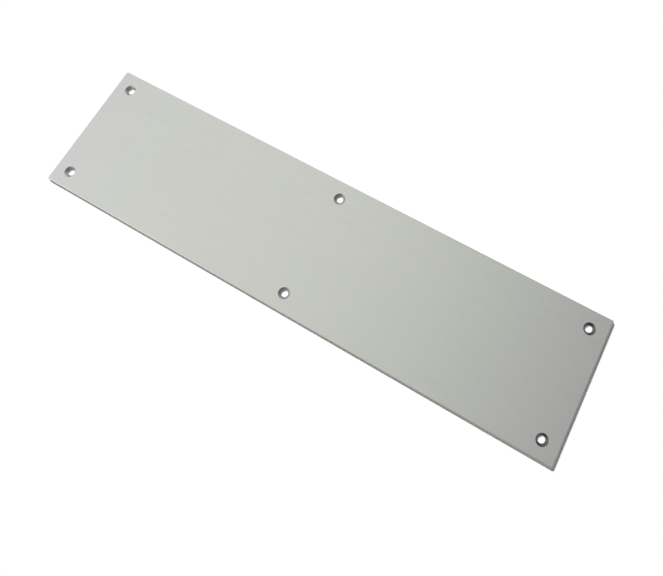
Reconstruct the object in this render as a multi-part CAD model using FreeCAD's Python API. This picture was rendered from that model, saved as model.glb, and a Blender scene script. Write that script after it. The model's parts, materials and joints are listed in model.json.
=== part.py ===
# A door finger plate: one flat sheet of aluminium with six countersunk screw holes.
# It lies on its back. X runs along the plate, Y across it, and Z out of the front face.
import FreeCAD
import Part
import math
import os

# Driving dimensions, in millimetres and degrees
plate_length = 300.0
plate_width = 75.0
plate_thickness = 1.5
corner_radius = 1.0
front_edge_radius = 0.8
hole_diameter = 3.6
hole_land = 0.2
countersink_angle = 90.0
hole_from_end = 9.2
hole_from_side = 9.2
cutter_overrun = 1.0


def point(x, y, z=0.0):
    return FreeCAD.Vector(x, y, z)


def blank():
    """The sheet before drilling: its corners rounded, then the rim of its front face eased."""
    sheet = Part.makeBox(plate_length, plate_width, plate_thickness, point(-plate_length / 2, -plate_width / 2))
    corners = [edge for edge in sheet.Edges if edge.BoundBox.ZLength > plate_thickness / 2]
    sheet = sheet.makeFillet(corner_radius, corners)
    front_rim = [edge for edge in sheet.Edges if math.isclose(edge.CenterOfMass.z, plate_thickness)]
    return sheet.makeFillet(front_edge_radius, front_rim)


def screw_hole(x, y):
    """Cutter for one hole: a straight land at the back that opens into a cone at the front."""
    slope = math.tan(math.radians(countersink_angle / 2))
    hole_radius = hole_diameter / 2
    top = plate_thickness + cutter_overrun
    mouth_radius = hole_radius + (top - hole_land) * slope
    profile = Part.makePolygon([
        point(0, 0, -cutter_overrun),
        point(hole_radius, 0, -cutter_overrun),
        point(hole_radius, 0, hole_land),
        point(mouth_radius, 0, top),
        point(0, 0, top),
        point(0, 0, -cutter_overrun),
    ])
    cutter = Part.Face(profile).revolve(point(0, 0), point(0, 0, 1), 360)
    cutter.translate(point(x, y))
    return cutter


def finger_plate():
    """The finished plate: one hole near each corner, and a pair at mid length."""
    hole_x = plate_length / 2 - hole_from_end
    hole_y = plate_width / 2 - hole_from_side
    holes = [screw_hole(x, y) for x in (-hole_x, 0, hole_x) for y in (-hole_y, hole_y)]
    return blank().cut(holes)


os.makedirs("parts", exist_ok=True)
plate = finger_plate()
plate.exportStep("parts/finger_plate.step")
size = plate.optimalBoundingBox()
print("finger_plate", size, "volume", round(plate.Volume, 1), "valid", plate.isValid())
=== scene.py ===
# %% [markdown]
# # A door finger plate in satin aluminium
#
# A finger plate is screwed to a door where hands push it, so that paint and wood stay clean. This one is
# a flat strip of aluminium sheet, satin anodised, with six countersunk screw holes. The CAD model fixes
# its size and the places of its holes. This lesson loads that model as a frame, and builds the plate
# again as a fine, closed mesh whose edges catch the light as real ones do. Then it makes the finish, the
# floor, the light and the camera.

# %% Load the frame
import json
import bpy
import numpy as np
from mathutils import Matrix, Vector


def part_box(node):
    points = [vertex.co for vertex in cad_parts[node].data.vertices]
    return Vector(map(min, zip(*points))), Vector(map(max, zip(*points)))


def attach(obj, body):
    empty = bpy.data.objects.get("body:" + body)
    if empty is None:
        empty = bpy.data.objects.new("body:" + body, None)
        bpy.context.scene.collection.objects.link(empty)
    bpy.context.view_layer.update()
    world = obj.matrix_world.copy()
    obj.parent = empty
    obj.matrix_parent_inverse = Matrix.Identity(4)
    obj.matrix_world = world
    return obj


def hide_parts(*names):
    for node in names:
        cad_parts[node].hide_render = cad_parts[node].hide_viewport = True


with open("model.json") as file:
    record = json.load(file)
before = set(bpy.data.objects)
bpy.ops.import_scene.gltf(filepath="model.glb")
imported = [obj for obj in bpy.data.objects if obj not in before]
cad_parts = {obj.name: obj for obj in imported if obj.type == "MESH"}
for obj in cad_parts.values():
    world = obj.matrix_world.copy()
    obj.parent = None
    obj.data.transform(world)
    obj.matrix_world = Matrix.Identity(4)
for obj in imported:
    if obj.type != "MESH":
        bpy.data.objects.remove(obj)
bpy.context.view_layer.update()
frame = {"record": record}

# %% [markdown]
# ## Sizes
#
# Whatever the frame knows is read from it, and isn't typed again: the outline is the box of the CAD node,
# rounded to a micrometre, and each hole is a bore in the record, with its centre, its radius and the
# length of its straight land. What is left are the roundings. Two of them repeat the CAD model's radii.
# The others are the slight easing that tumbling and anodising leave on every cut edge. They are too small
# to measure, but without them an edge never glints.

# %% Sizes of the plate
mm = 0.001
size_digits = 6
far_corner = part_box("finger_plate")[1]
half_length, half_width, thickness = np.round(far_corner, size_digits)
bores = [mount for mount in frame["record"]["mounts"] if mount["kind"] == "bore"]
hole_centres = np.array([mount["pos_m"][:2] for mount in bores])
hole_columns = np.unique(hole_centres[:, 0])
hole_rows = np.unique(hole_centres[:, 1])
hole_radius = bores[0]["dims"]["r_mm"] * mm
hole_land = bores[0]["dims"]["length_mm"] * mm
mouth_radius = hole_radius + thickness - hole_land

corner_radius = 1.0 * mm
front_edge_radius = 0.8 * mm
mouth_easing = 0.12 * mm
cut_easing = 0.05 * mm
print(f"plate {2 * half_length / mm:.1f} x {2 * half_width / mm:.1f} x {thickness / mm:.2f} mm,")
print(f"{len(bores)} holes of {2 * hole_radius / mm:.1f} mm, {2 * mouth_radius / mm:.1f} mm at the mouth")

# %% [markdown]
# ## A section with eased corners
#
# Both the rim of the plate and the wall of a hole are one section carried along a path, so the section
# comes first. A Bevel modifier with edge weights could round a plain box, but its corners come out uneven
# where edges of different widths meet. Drawing the section ourselves gives each corner its own radius,
# and the exact normal at each point. Points in a plane are complex numbers here: multiplying by 1j is a
# quarter turn to the left, so arcs are short to write. The section is drawn with the metal on its left,
# which makes the outward normal a quarter turn to the right.

# %% Draw a section
def eased_section(corners, radii, steps=8):
    """Points and outward normals of a section: straight runs, and an arc of its own radius at each corner.

    A corner that turns by an angle a is cut back by r * tan(|a| / 2) along the run that arrives. The arc's
    centre lies r to the side that the section turns to. A point on the arc is the centre less that side step,
    turned by a share of a.
    """
    corners = np.asarray(corners)
    ahead = np.diff(corners) / np.abs(np.diff(corners))
    arriving = ahead[:-1]
    turn = np.angle(ahead[1:] / arriving)
    side = np.sign(turn) * radii
    centre = corners[1:-1] + (1j * side - np.abs(side) * np.tan(np.abs(turn) / 2)) * arriving
    travel = arriving[:, None] * np.exp(1j * turn[:, None] * np.linspace(0, 1, steps + 1))
    arcs = centre[:, None] - 1j * side[:, None] * travel
    points = np.concatenate([corners[:1], arcs.ravel(), corners[-1:]])
    normals = -1j * np.concatenate([ahead[:1], travel.ravel(), ahead[-1:]])
    return points, normals


def grid_faces(rows, columns):
    """Quads of a grid of points, each from a point to the next row, the next column and back."""
    index = np.arange(rows * columns).reshape(rows, columns)
    return np.stack([index[:-1, :-1], index[1:, :-1], index[1:, 1:], index[:-1, 1:]], axis=-1).reshape(-1, 4)


def spun_grid(plane, height, plane_normal, height_normal):
    """A patch from two grids of complex plane points and heights, and the same for its normals."""
    plane, height = np.broadcast_arrays(plane, height)
    plane_normal, height_normal = np.broadcast_arrays(plane_normal, height_normal)
    points = np.stack([plane.real, plane.imag, height], axis=-1)
    normals = np.stack([plane_normal.real, plane_normal.imag, height_normal], axis=-1)
    return points.reshape(-1, 3), normals.reshape(-1, 3), grid_faces(*plane.shape)


# %% [markdown]
# ## The countersunk holes
#
# On the real plate a drill makes the hole, and a 90 degree countersink opens its front, so that a screw's
# head sits flush. A Boolean could cut this from a box, but it leaves long thin faces that shade badly.
# Here each hole is a patch of its own: the section runs from the front face down the cone and the land to
# the back, and spins round the axis. The patch starts and ends on a small square instead of a circle, so
# that it fits into the flat faces edge to edge.

# %% Holes as spun sections
turns = 96
patch_half = 5.0 * mm
bearing = -np.pi / 4 + 2 * np.pi * np.arange(turns + 1) / turns
heading = np.exp(1j * bearing)
to_square = 1 / np.maximum(np.abs(heading.real), np.abs(heading.imag))


def hole_patch(centre):
    """One hole: point = centre + reach * heading at the section's height, where reach comes from the section.

    The first and last reach grow by 1 / max(|cos|, |sin|) of the bearing, which makes their circle a square.
    """
    section, normal = eased_section(
        [patch_half + 1j * thickness, mouth_radius + 1j * thickness, hole_radius + 1j * hole_land,
         hole_radius, patch_half],
        [mouth_easing, cut_easing, cut_easing],
    )
    reach = np.repeat(section.real[None, :], turns + 1, axis=0)
    reach[:, 0] *= to_square
    reach[:, -1] *= to_square
    plane = complex(*centre) + reach * heading[:, None]
    return spun_grid(plane, section.imag, normal.real * heading[:, None], normal.imag)


holes = [hole_patch(centre) for centre in hole_centres]
print(len(holes), "hole patches of", len(holes[0][2]), "faces")

# %% [markdown]
# ## The flat faces
#
# The front and the back are plane, so any faces will do, as long as their edges meet the patches beside
# them point for point. Lines at the same offsets as the points on a hole's square run across the whole
# plate in both directions, with even steps between the holes. The squares where the holes sit are then
# left out.

# %% Front and back with openings for the holes
even_step = 6.0 * mm
weld_digits = 9
square_offsets = patch_half * np.tan(np.linspace(-np.pi / 4, np.pi / 4, turns // 4 + 1))
flat_half_length = half_length - corner_radius
flat_half_width = half_width - corner_radius


def grid_lines(hole_places, reach):
    """Places of grid lines from -reach to reach: a hole's own offsets at each hole, even steps between."""
    near = hole_places[:, None] + square_offsets
    starts = np.append(-reach, near[:, -1])
    ends = np.append(near[:, 0], reach)
    counts = np.ceil((ends - starts) / even_step).astype(int)
    spans = [np.linspace(start, end, count + 1) for start, end, count in zip(starts, ends, counts)]
    return np.unique(np.round(np.concatenate([near.ravel(), *spans]), weld_digits))


x_lines = grid_lines(hole_columns, flat_half_length)
y_lines = grid_lines(hole_rows, flat_half_width)


def flat_patch(height, up):
    """A plane grid at one height, without the cells whose middle lies in a hole's square."""
    plane = x_lines[:, None] + 1j * y_lines
    points, normals, faces = spun_grid(plane, height, 0 * plane, up)
    middles = points[faces].mean(axis=1)[:, :2]
    from_holes = np.abs(middles[:, None, :] - hole_centres).max(axis=2).min(axis=1)
    faces = faces[from_holes > patch_half]
    return points, normals, faces if up > 0 else faces[:, ::-1]


flats = [flat_patch(thickness, 1.0), flat_patch(0.0, -1.0)]
print("flat faces on", len(x_lines), "x", len(y_lines), "lines")

# %% [markdown]
# ## The rim
#
# The sheet was sheared to size, its four corners were rounded, and the edge that hands touch was eased,
# so the rim is rounder in front than at the back. One section, from the back round to the front, travels
# along the four sides. At each corner the path stands still while the section swings through a quarter
# turn, and that makes the round corner.

# %% Rim as a section carried round the plate
corner_steps = 12


def rim_patch():
    """The rim: point = path + reach * facing at the section's height.

    Along a side the path moves and facing stays. At a corner the path stays and facing turns to the next.
    """
    section, normal = eased_section(
        [0, corner_radius, corner_radius + 1j * thickness, 1j * thickness],
        [cut_easing, front_edge_radius],
    )
    sides = [
        flat_half_length + 1j * y_lines,
        x_lines[::-1] + 1j * flat_half_width,
        -flat_half_length + 1j * y_lines[::-1],
        x_lines - 1j * flat_half_width,
    ]
    swing = np.exp(0.5j * np.pi * np.arange(corner_steps + 1) / corner_steps)
    path = np.concatenate([np.append(side, np.repeat(side[-1], corner_steps + 1)) for side in sides])
    facing = np.concatenate([
        1j**turn * np.append(np.ones(len(side)), swing)
        for turn, side in enumerate(sides)
    ])
    plane = path[:, None] + section.real * facing[:, None]
    return spun_grid(plane, section.imag, normal.real * facing[:, None], normal.imag)


rim = rim_patch()
print("rim of", len(rim[2]), "faces")

# %% [markdown]
# ## One closed mesh
#
# The patches share their border points, so welding points that coincide joins them into one closed skin.
# Faces that lose a corner in the weld become triangles, and those that lose two vanish. The exact normals
# go into the mesh as custom normals: the flat faces then stay flat to their very edge, and the roundings
# blend into them with no seam. A check ends this step. In a closed skin each edge belongs to two
# triangles. Each triangle spans a pyramid with the origin, and their volumes add up to the plate's, with
# a plus sign only if the faces look outwards.

# %% Weld the patches into the plate
def welded(patches):
    """Points, normals and faces of all patches together, with coincident points made one."""
    counts = [len(points) for points, _, _ in patches]
    starts = np.cumsum([0] + counts[:-1])
    points = np.concatenate([points for points, _, _ in patches])
    normals = np.concatenate([normals for _, normals, _ in patches])
    faces = np.concatenate([faces + start for (_, _, faces), start in zip(patches, starts)])
    used = np.unique(faces)
    rounded = np.round(points[used], weld_digits)
    _, first, place = np.unique(rounded, axis=0, return_index=True, return_inverse=True)
    renumbered = np.zeros(len(points), int)
    renumbered[used] = place.ravel()
    return points[used][first], normals[used][first], renumbered[faces]


def without_repeats(quads):
    """Quads, and the triangles left by quads that have two neighbouring corners in one point."""
    repeats = quads == np.roll(quads, -1, axis=1)
    whole = quads[~repeats.any(axis=1)]
    folded = quads[repeats.sum(axis=1) == 1]
    keep = ~repeats[repeats.sum(axis=1) == 1]
    return whole, folded[keep].reshape(-1, 3)


points, normals, quads = welded([*holes, *flats, rim])
quads, triangles = without_repeats(quads)
mesh = bpy.data.meshes.new("drilled_plate")
mesh.from_pydata(points, [], quads.tolist() + triangles.tolist())
mesh.shade_smooth()
mesh.normals_split_custom_set_from_vertices(normals)
plate = bpy.data.objects.new("drilled_plate", mesh)
bpy.context.scene.collection.objects.link(plate)

# %% Check that the skin is closed and faces outwards
corners = np.concatenate([quads[:, [0, 1, 2]], quads[:, [0, 2, 3]], triangles])
edges = np.sort(np.concatenate([corners[:, [0, 1]], corners[:, [1, 2]], corners[:, [2, 0]]]), axis=1)
uses = np.unique(edges, axis=0, return_counts=True)[1]
a, b, c = np.moveaxis(points[corners], 1, 0)
volume = np.einsum("ij,ij->i", a, np.cross(b, c)).sum() / 6
print(f"{len(points)} points, {len(corners)} triangles, {np.count_nonzero(uses != 2)} open edges,")
print(f"volume {volume / mm**3:.1f} cubic mm")

# %% [markdown]
# ## Shader arithmetic
#
# A procedural finish is mostly arithmetic on sockets: distances, masks, waves. Written node by node it is
# hard to read, so one small class wraps a socket and lets Python's operators add the Math nodes. Any
# other node comes from `node`, which takes the node's type, then its settings, then the values or links
# of its sockets.

# %% A socket that does arithmetic
class Term:
    """A socket in a node tree. An operator on terms and numbers adds one Math node and gives its result."""

    def __init__(self, tree, socket=None):
        self.tree = tree
        self.socket = socket

    def node(self, kind, settings=None, sockets=None, output=0):
        """Adds a node: its settings first, then a value or a term for each socket, by name or number."""
        made = self.tree.nodes.new(kind)
        for name, value in (settings or {}).items():
            setattr(made, name, value)
        for key, value in (sockets or {}).items():
            if isinstance(value, Term):
                self.tree.links.new(value.socket, made.inputs[key])
            else:
                made.inputs[key].default_value = value
        return Term(self.tree, made.outputs[output] if made.outputs else None)

    def math(self, operation, *values):
        return self.node("ShaderNodeMath", {"operation": operation}, dict(enumerate(values)))

    def __add__(self, other):
        return self.math("ADD", self, other)

    def __sub__(self, other):
        return self.math("SUBTRACT", self, other)

    def __rsub__(self, other):
        return self.math("SUBTRACT", other, self)

    def __mul__(self, other):
        return self.math("MULTIPLY", self, other)

    def __pow__(self, other):
        return self.math("POWER", self, other)

    __radd__ = __add__
    __rmul__ = __mul__

    def rise(self, start, end):
        """0 before start, 1 after end, and a smooth step between; start may be the larger one."""
        sockets = {"Value": self, "From Min": start, "From Max": end}
        return self.node("ShaderNodeMapRange", {"interpolation_type": "SMOOTHSTEP"}, sockets)

    def axes(self):
        """The three numbers in a vector."""
        split = self.node("ShaderNodeSeparateXYZ", sockets={0: self}).socket.node
        return [Term(self.tree, socket) for socket in split.outputs]

    def stretched(self, scale):
        """A vector with each axis multiplied by its own number."""
        return self.node("ShaderNodeVectorMath", {"operation": "MULTIPLY"}, {0: self, 1: scale})

    def noise(self, scale, detail=2.0):
        """Soft random values around 0.5 that vary over 1 / scale."""
        return self.node("ShaderNodeTexNoise", sockets={"Vector": self, "Scale": scale, "Detail": detail})


def blend_colours(low_colour, high_colour, share):
    """A colour between two, by a share from 0 to 1.

    A Mix node repeats its socket names for each data type, so those of colours go by number.
    """
    low_socket, high_socket, result_socket = 6, 7, 2
    sockets = {"Factor": share, low_socket: low_colour, high_socket: high_colour}
    return share.node("ShaderNodeMix", {"data_type": "RGBA"}, sockets, result_socket)


# %% [markdown]
# ## Satin anodised aluminium
#
# Before anodising, the sheet is etched in caustic soda. That dulls the rolled surface to an even satin,
# and the clear oxide film then holds it so. The base is a metal with a slightly warm grey, rough enough
# to blur what it reflects. Everything else is small. The etch leaves a fine grain of darker pits, and
# rolling leaves faint lines along the sheet. The film's tone drifts over a few centimetres, and near both
# ends, where it grows thicker in the bath, it is a cooler grey. The countersinks are turned after the
# etch, so they are a little smoother, with fine rings, and their darker grey is painted shade in the
# hollow. The pair at the right-hand end, +X, gets a much darker painted shade. The eased edge is smoother
# too, the sheared sides carry fine upright lines, and the back keeps more of its rolling lines. Every
# pattern reads Object coordinates, in millimetres, so that the finish stays put from any side. An image
# of a metal surface would also do, but it would need unwrapping, and it would blur in a close view.

# %% Where on the plate a point lies
satin = bpy.data.materials.new("satin_anodised_aluminium")
satin.use_nodes = True
satin.node_tree.nodes.clear()
start = Term(satin.node_tree)
per_mm = 1 / mm
place = start.node("ShaderNodeTexCoord", output="Object").stretched((per_mm, per_mm, per_mm))
x, y, z = place.axes()

hole_pitch = (hole_columns[1] - hole_columns[0]) / mm
mouth = mouth_radius / mm
easing = front_edge_radius / mm
blend = 0.1
back_blend = 0.03
along = x.math("WRAP", x, hole_pitch / 2, -hole_pitch / 2)
across = y.math("ABSOLUTE", y) - hole_rows[-1] / mm
from_hole = (along * along + across * across) ** 0.5
in_hole = from_hole.rise(mouth, mouth - blend) * z.rise(0.0, back_blend)
# Mask of the right-hand pair of holes, +X, where a deeper painted shade goes.
in_deep_shade_pair = x.math("GREATER_THAN", x, hole_pitch / 2)
to_end = half_length / mm - x.math("ABSOLUTE", x)
to_side = half_width / mm - y.math("ABSOLUTE", y)
to_edge = to_end.math("MINIMUM", to_end, to_side)
on_edge = to_edge.rise(easing, easing / 2)
on_side = to_edge.rise(blend, 0.0)
on_back = z.rise(back_blend, 0.0) * (1 - in_hole) * (1 - on_side)
print("satin: hole pitch", round(hole_pitch, 2), "mm, holes", round(2 * mouth, 2), "mm across")

# %% Patterns of the finish
etch_scale = 5.0
roll_stretch = (0.03, 4.0, 4.0)
drift_scale = 0.03
shear_stretch = (1.0, 1.0, 0.06)
shear_scale = 14.0
ring_pitch = 0.22
etch = place.noise(etch_scale, detail=3.0)
rolled = place.stretched(roll_stretch).noise(1.0, detail=3.0)
drift = place.noise(drift_scale, detail=1.0)
shear = place.stretched(shear_stretch).noise(shear_scale)
phase = from_hole * (2 * np.pi / ring_pitch)
rings = phase.math("SINE", phase)

film_reach = 60.0
film_full = 4.0
end_film = 0.8
drift_film = 0.4
roll_film = 0.3
film = (
    to_end.rise(film_reach, film_full) * end_film
    + (drift - 0.5) * drift_film
    + (rolled - 0.5) * roll_film
)
print("satin: film thicker within", film_reach, "mm of the ends, rings every", ring_pitch, "mm")

# %% Colour
base_colour = (0.600, 0.616, 0.571, 1.0)
film_colour = (0.608, 0.613, 0.606, 1.0)
pit_colour = (0.490, 0.498, 0.470, 1.0)
# Painted shade: the countersinks' darker grey stands in for the shade in the hollow.
countersink_shade_colour = (0.48, 0.48, 0.48, 1.0)
# Painted shade: a near black for the countersinks of the right-hand pair.
deep_shade_colour = (0.14, 0.14, 0.14, 1.0)
pit_edge = 0.48
pit_heart = 0.70
pit_share = 0.45
line_edge = 0.45
line_heart = 0.75
line_share = 0.30
pitted = etch.rise(pit_edge, pit_heart) * pit_share + rolled.rise(line_edge, line_heart) * line_share
satin_colour = blend_colours(blend_colours(base_colour, film_colour, film), pit_colour, pitted)
# Painted shade in the countersinks, deeper in the right-hand pair.
hole_shade_colour = blend_colours(countersink_shade_colour, deep_shade_colour, in_deep_shade_pair)
colour = blend_colours(satin_colour, hole_shade_colour, in_hole)
print("satin: grey of", base_colour[:3], "with pits of", pit_colour[:3])

# %% Roughness and relief
face_roughness = 0.44
edge_roughness = 0.30
side_roughness = 0.42
hole_roughness = 0.36
drift_roughness = 0.02
roll_roughness = 0.10
roughness = (
    face_roughness
    + (drift - 0.5) * drift_roughness
    + (rolled - 0.5) * roll_roughness * (1 + on_back)
    + in_hole * (hole_roughness - face_roughness)
    + on_edge * (edge_roughness - face_roughness)
    + on_side * (side_roughness - edge_roughness)
)
etch_depth = 0.0016
roll_depth = 0.0012
ring_depth = 0.004
shear_depth = 0.012
back_depth = 0.0024
relief = (
    etch * etch_depth * (1 - in_hole)
    + rolled * (roll_depth + back_depth * on_back)
    + rings * ring_depth * in_hole
    + shear * shear_depth * on_side
)
print("satin: roughness", face_roughness, "on the face and", hole_roughness, "in the holes")

# %% The shader
bumped = start.node("ShaderNodeBump", sockets={"Height": relief, "Strength": 1.0, "Distance": mm})
shader = start.node("ShaderNodeBsdfPrincipled", sockets={
    "Base Color": colour,
    "Metallic": 1.0,
    "Roughness": roughness,
    "Normal": bumped,
})
start.node("ShaderNodeOutputMaterial", sockets={"Surface": shader})
mesh.materials.append(satin)
print("satin:", len(satin.node_tree.nodes), "nodes")

# %% [markdown]
# ## Floor
#
# The plate lies on plain white paper. A white floor in soft light renders a little under white, so the
# camera sees a faint glow added to it. The glow lights nothing, and the shadow beside the plate stays.
# Reflections see the paper evenly pale, because the paper under the plate is in shadow, and would leave
# its back black in a view from below. For such views the floor is clear from its underside. The kind of
# ray decides which shader shows, through Mix Shader.

# %% Floor
white = (1.0, 1.0, 1.0, 1.0)
paper_colour = (0.93, 0.93, 0.93, 1.0)
paper_glow = 0.06
paper_mirrored = 0.75
floor_reach = 8.0
floor_drop = 0.02 * mm


def ray_kinds(start):
    """Two terms: 1 for rays straight from the camera, and 1 for rays that a glossy surface reflects."""
    outputs = start.node("ShaderNodeLightPath").socket.node.outputs
    return [Term(start.tree, outputs[name]) for name in ("Is Camera Ray", "Is Glossy Ray")]


def either(share, shader, other):
    """One shader where share is 0, and the other where it is 1."""
    return share.node("ShaderNodeMixShader", sockets={0: share, 1: shader, 2: other})


floor_mesh = bpy.data.meshes.new("floor")
floor_corners = floor_reach * np.array([[-1, -1, 0], [1, -1, 0], [1, 1, 0], [-1, 1, 0]]) - [0, 0, floor_drop]
floor_mesh.from_pydata(floor_corners, [], [(0, 1, 2, 3)])
floor = bpy.data.objects.new("floor", floor_mesh)
bpy.context.scene.collection.objects.link(floor)

paper = bpy.data.materials.new("white_paper")
paper.use_nodes = True
paper.node_tree.nodes.clear()
start = Term(paper.node_tree)
camera_ray, glossy_ray = ray_kinds(start)
underside = start.node("ShaderNodeNewGeometry", output="Backfacing")
matt = start.node("ShaderNodeBsdfDiffuse", sockets={"Color": paper_colour})
glow = start.node("ShaderNodeEmission", sockets={"Color": white, "Strength": paper_glow})
glowing = start.node("ShaderNodeAddShader", sockets={0: matt, 1: glow})
mirrored = start.node("ShaderNodeEmission", sockets={"Color": white, "Strength": paper_mirrored})
clear = start.node("ShaderNodeBsdfTransparent")
topside = either(glossy_ray, either(camera_ray, matt, glowing), mirrored)
start.node("ShaderNodeOutputMaterial", sockets={"Surface": either(underside, topside, clear)})
floor_mesh.materials.append(paper)
print("floor", 2 * floor_reach, "m wide")

# %% [markdown]
# ## Light
#
# Satin metal shows little but its surroundings, so what it reflects matters more than any lamp. The world
# is a dim room, darkest near the floor, with three soft bright parts: a window high beyond the left end, a
# pale wall beyond the far long side, and a pale screen beyond the near left corner. Each part has a
# direction, and fades in between two cosines of the angle to it, at its edge and at its heart. The face
# then fades from left to right, the far edge stays pale, and the near edge is a line that darkens to the
# right. Rays are told apart by their kind, so each part can be set alone: reflections see the room, the
# camera sees white, and the floor gets an even, weak light. One soft lamp, far off and hidden from
# reflections, lights the floor and casts the thin shadow along the near edges.

# %% The room
window_azimuth = np.radians(178)
window_elevation = np.radians(54)
window_edge = 0.10
window_heart = 0.95
window_bright = 0.83
wall_azimuth = np.radians(100)
wall_elevation = 0.0
wall_edge = 0.50
wall_heart = 0.80
wall_bright = 0.40
screen_azimuth = np.radians(-140)
screen_elevation = np.radians(10)
screen_edge = 0.70
screen_heart = 0.95
screen_bright = 0.55
room_low = 0.14
room_high = 0.23
room_low_edge = 0.1
room_high_edge = 0.6
room_fill = 0.096


def direction(azimuth, elevation):
    """The unit vector at an angle round from +X and an angle up from the floor."""
    level = np.cos(elevation)
    return Vector((level * np.cos(azimuth), level * np.sin(azimuth), np.sin(elevation)))


world = bpy.data.worlds.new("room")
bpy.context.scene.world = world
world.use_nodes = True
world.node_tree.nodes.clear()
start = Term(world.node_tree)
east, north, height = start.node("ShaderNodeTexCoord", output="Generated").axes()


def cosine_to(side):
    """The cosine of the angle from a ray to a direction."""
    return east * side.x + north * side.y + height * side.z


window = cosine_to(direction(window_azimuth, window_elevation)).rise(window_edge, window_heart)
wall = cosine_to(direction(wall_azimuth, wall_elevation)).rise(wall_edge, wall_heart)
screen = cosine_to(direction(screen_azimuth, screen_elevation)).rise(screen_edge, screen_heart)
room = room_low + (room_high - room_low) * height.rise(room_low_edge, room_high_edge)
radiance = room + window_bright * window + wall_bright * wall + screen_bright * screen
camera_ray, glossy_ray = ray_kinds(start)
strength = camera_ray + glossy_ray * radiance + (1 - camera_ray - glossy_ray) * room_fill
background = start.node("ShaderNodeBackground", sockets={"Color": white, "Strength": strength})
start.node("ShaderNodeOutputWorld", sockets={"Surface": background})
print("room from", room_low, "to", room_high, "with a window of", window_bright, "and a wall of", wall_bright)

# %% The lamp
lamp_azimuth = np.radians(146)
lamp_elevation = np.radians(36)
lamp_angle = np.radians(12)
lamp_energy = 4.9
lamp_data = bpy.data.lights.new("soft_lamp", "SUN")
lamp_data.angle = lamp_angle
lamp_data.energy = lamp_energy
lamp = bpy.data.objects.new("soft_lamp", lamp_data)
lamp.visible_glossy = False
lamp.rotation_euler = direction(lamp_azimuth, lamp_elevation).to_track_quat("Z", "Y").to_euler()
bpy.context.scene.collection.objects.link(lamp)
print("lamp of", lamp_energy, "W per square metre")

# %% [markdown]
# ## Camera
#
# The camera's place comes from the picture's own geometry: the corners of the plate and its six holes
# show where the lens was, how it was tilted, and how wide it was. They agree best with a picture that was
# cropped off centre, which a lens shift repeats. Views from other sides keep the shift, and all of it
# would push the plate out of their frame, so less than half is used, and the plate's corners come within
# about 4 pixels of the picture's. The lens is given for Blender's 36 mm sensor and an image of 663 x 576.

# %% Camera
camera_place = Vector((61.50, -17.12, 221.55)) * mm
camera_aim = Vector((28.33, 27.04, 1.50)) * mm
camera_roll = np.radians(-8.590)
forward = (camera_aim - camera_place).normalized()
level_right = forward.cross(Vector((0, 0, 1))).normalized()
level_up = level_right.cross(forward)
right = level_right * np.cos(camera_roll) + level_up * np.sin(camera_roll)
up = right.cross(forward)
camera_data = bpy.data.cameras.new("camera")
camera_data.lens = 23.571
camera_data.shift_x = -0.0809
camera_data.shift_y = -0.0945
camera_data.clip_start = 0.01
camera = bpy.data.objects.new("camera", camera_data)
camera.matrix_world = Matrix.Translation(camera_place) @ Matrix((right, up, -forward)).transposed().to_4x4()
bpy.context.scene.collection.objects.link(camera)
bpy.context.scene.camera = camera
bpy.context.scene.view_settings.view_transform = "Standard"
print("camera", round(camera_place.length, 3), "m from the plate's centre")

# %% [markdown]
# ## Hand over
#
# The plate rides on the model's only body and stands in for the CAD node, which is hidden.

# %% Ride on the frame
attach(plate, "root")
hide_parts("finger_plate")
